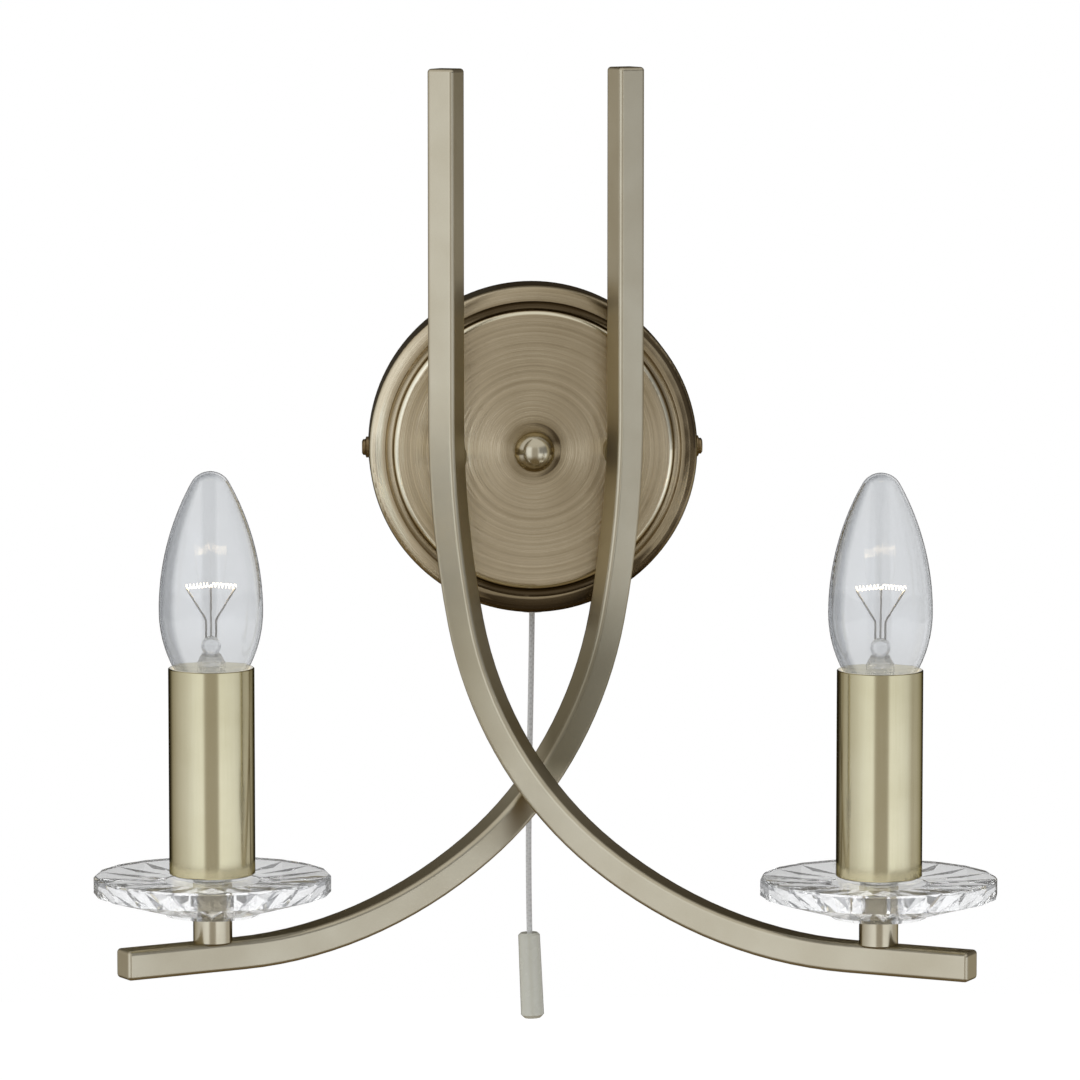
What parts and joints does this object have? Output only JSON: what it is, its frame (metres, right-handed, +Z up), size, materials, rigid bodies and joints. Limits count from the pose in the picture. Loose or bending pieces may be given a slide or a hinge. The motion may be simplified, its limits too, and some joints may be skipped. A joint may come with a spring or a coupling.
{
  "type": "wall light",
  "caption": "Wall light with a round backplate, crossing square tube arms, cut glass drip dishes, candle tubes and bulbs, and a pull cord switch.",
  "frame": {"origin": "centre of the backplate's back on the wall plane", "axes": "+Y into the wall, +Z up, +X to the right as seen from the room"},
  "size_m": [0.304, 0.1677, 0.3376],
  "materials": {
    "satin_brass": "satin lacquered antique brass, brushed along the tube",
    "plate_brass": "satin lacquered brass, brushed in circles",
    "bulb_cap": "thin rolled brass",
    "solder": "dull solder",
    "filament": "tungsten, glowing",
    "bulb_glass": "clear blown glass",
    "black_glass": "black vitreous insulator",
    "lead_wire": "bright drawn wire",
    "white_plastic": "moulded nylon",
    "pull_plastic": "pale moulded plastic",
    "clear_washer": "clear soft plastic",
    "zinc_steel": "zinc plated steel",
    "bare_brass": "plain machined brass",
    "cut_glass": "clear cut glass, polished",
    "holder_plastic": "heat resistant moulded plastic",
    "wire_cover": "plain wire covering",
    "cord": "fine braided nylon"
  },
  "bodies": {
    "fixture": {"arm_back": "satin_brass", "arm_front": "satin_brass", "back_lamp_cap": "satin_brass", "back_top_cap": "satin_brass", "backplate": "plate_brass", "candle_tube_left": "satin_brass", "candle_tube_right": "satin_brass", "cord_bush": "white_plastic", "dish_washers_left": "clear_washer", "dish_washers_right": "clear_washer", "earth_screw": "zinc_steel", "finial_ball": "satin_brass", "finial_nut": "bare_brass", "finial_stud": "zinc_steel", "front_lamp_cap": "satin_brass", "front_top_cap": "satin_brass", "glass_dish_left": "cut_glass", "glass_dish_right": "cut_glass", "holder_body_left": "holder_plastic", "holder_body_right": "holder_plastic", "holder_contact_left": "bare_brass", "holder_contact_right": "bare_brass", "holder_shell_left": "bare_brass", "holder_shell_right": "bare_brass", "lamp_stem_left": "satin_brass", "lamp_stem_right": "satin_brass", "lamp_wire_left": "wire_cover", "lamp_wire_right": "wire_cover", "post_left": "satin_brass", "post_nuts": "bare_brass", "post_right": "satin_brass", "post_washers": "bare_brass", "ring_nut_left": "bare_brass", "ring_nut_right": "bare_brass", "side_screws": "bare_brass", "switch_body": "white_plastic", "switch_spring": "zinc_steel", "switch_wires": "wire_cover", "terminal_block": "white_plastic", "terminal_inserts": "bare_brass", "terminal_screws": "bare_brass", "wall_bracket": "zinc_steel"},
    "pull": {"switch_plunger": "white_plastic", "pull_cord": "cord", "cord_pull": "pull_plastic"},
    "bulb_left_tip": {"bulb_contact_left": "solder"},
    "bulb_left": {"bulb_glass_left": "bulb_glass", "bulb_cap_left": "bulb_cap", "bulb_insulator_left": "black_glass", "bulb_mount_left": "bulb_glass", "bulb_leads_left": "lead_wire", "bulb_filament_left": "filament"},
    "bulb_right_tip": {"bulb_contact_right": "solder"},
    "bulb_right": {"bulb_glass_right": "bulb_glass", "bulb_cap_right": "bulb_cap", "bulb_insulator_right": "black_glass", "bulb_mount_right": "bulb_glass", "bulb_leads_right": "lead_wire", "bulb_filament_right": "filament"}
  },
  "joints": [
    {"name": "pull_travel", "type": "slide", "parent": "fixture", "child": "pull", "axis": [0, 0, -1], "range_m": [0, 0.008], "stiffness_N_per_m": 300, "springref_m": -0.006, "deforming": ["switch_spring"]},
    {"name": "bulb_left_rise", "type": "slide", "parent": "fixture", "child": "bulb_left_tip", "axis": [0, 0, 1], "range_m": [0, 0.00846]},
    {"name": "bulb_left_turn", "type": "hinge", "parent": "bulb_left_tip", "child": "bulb_left", "pos_m": [-0.112, -0.1132, -0.0977], "axis": [0, 0, 1], "range_deg": [0, 1080]},
    {"name": "bulb_right_rise", "type": "slide", "parent": "fixture", "child": "bulb_right_tip", "axis": [0, 0, 1], "range_m": [0, 0.00846]},
    {"name": "bulb_right_turn", "type": "hinge", "parent": "bulb_right_tip", "child": "bulb_right", "pos_m": [0.112, -0.1277, -0.0977], "axis": [0, 0, 1], "range_deg": [0, 1080]}
  ],
  "couplings": [
    {"joint": "bulb_left_turn", "follows": "bulb_left_rise", "rad_per_m": 2228.1},
    {"joint": "bulb_right_turn", "follows": "bulb_right_rise", "rad_per_m": 2228.1}
  ]
}
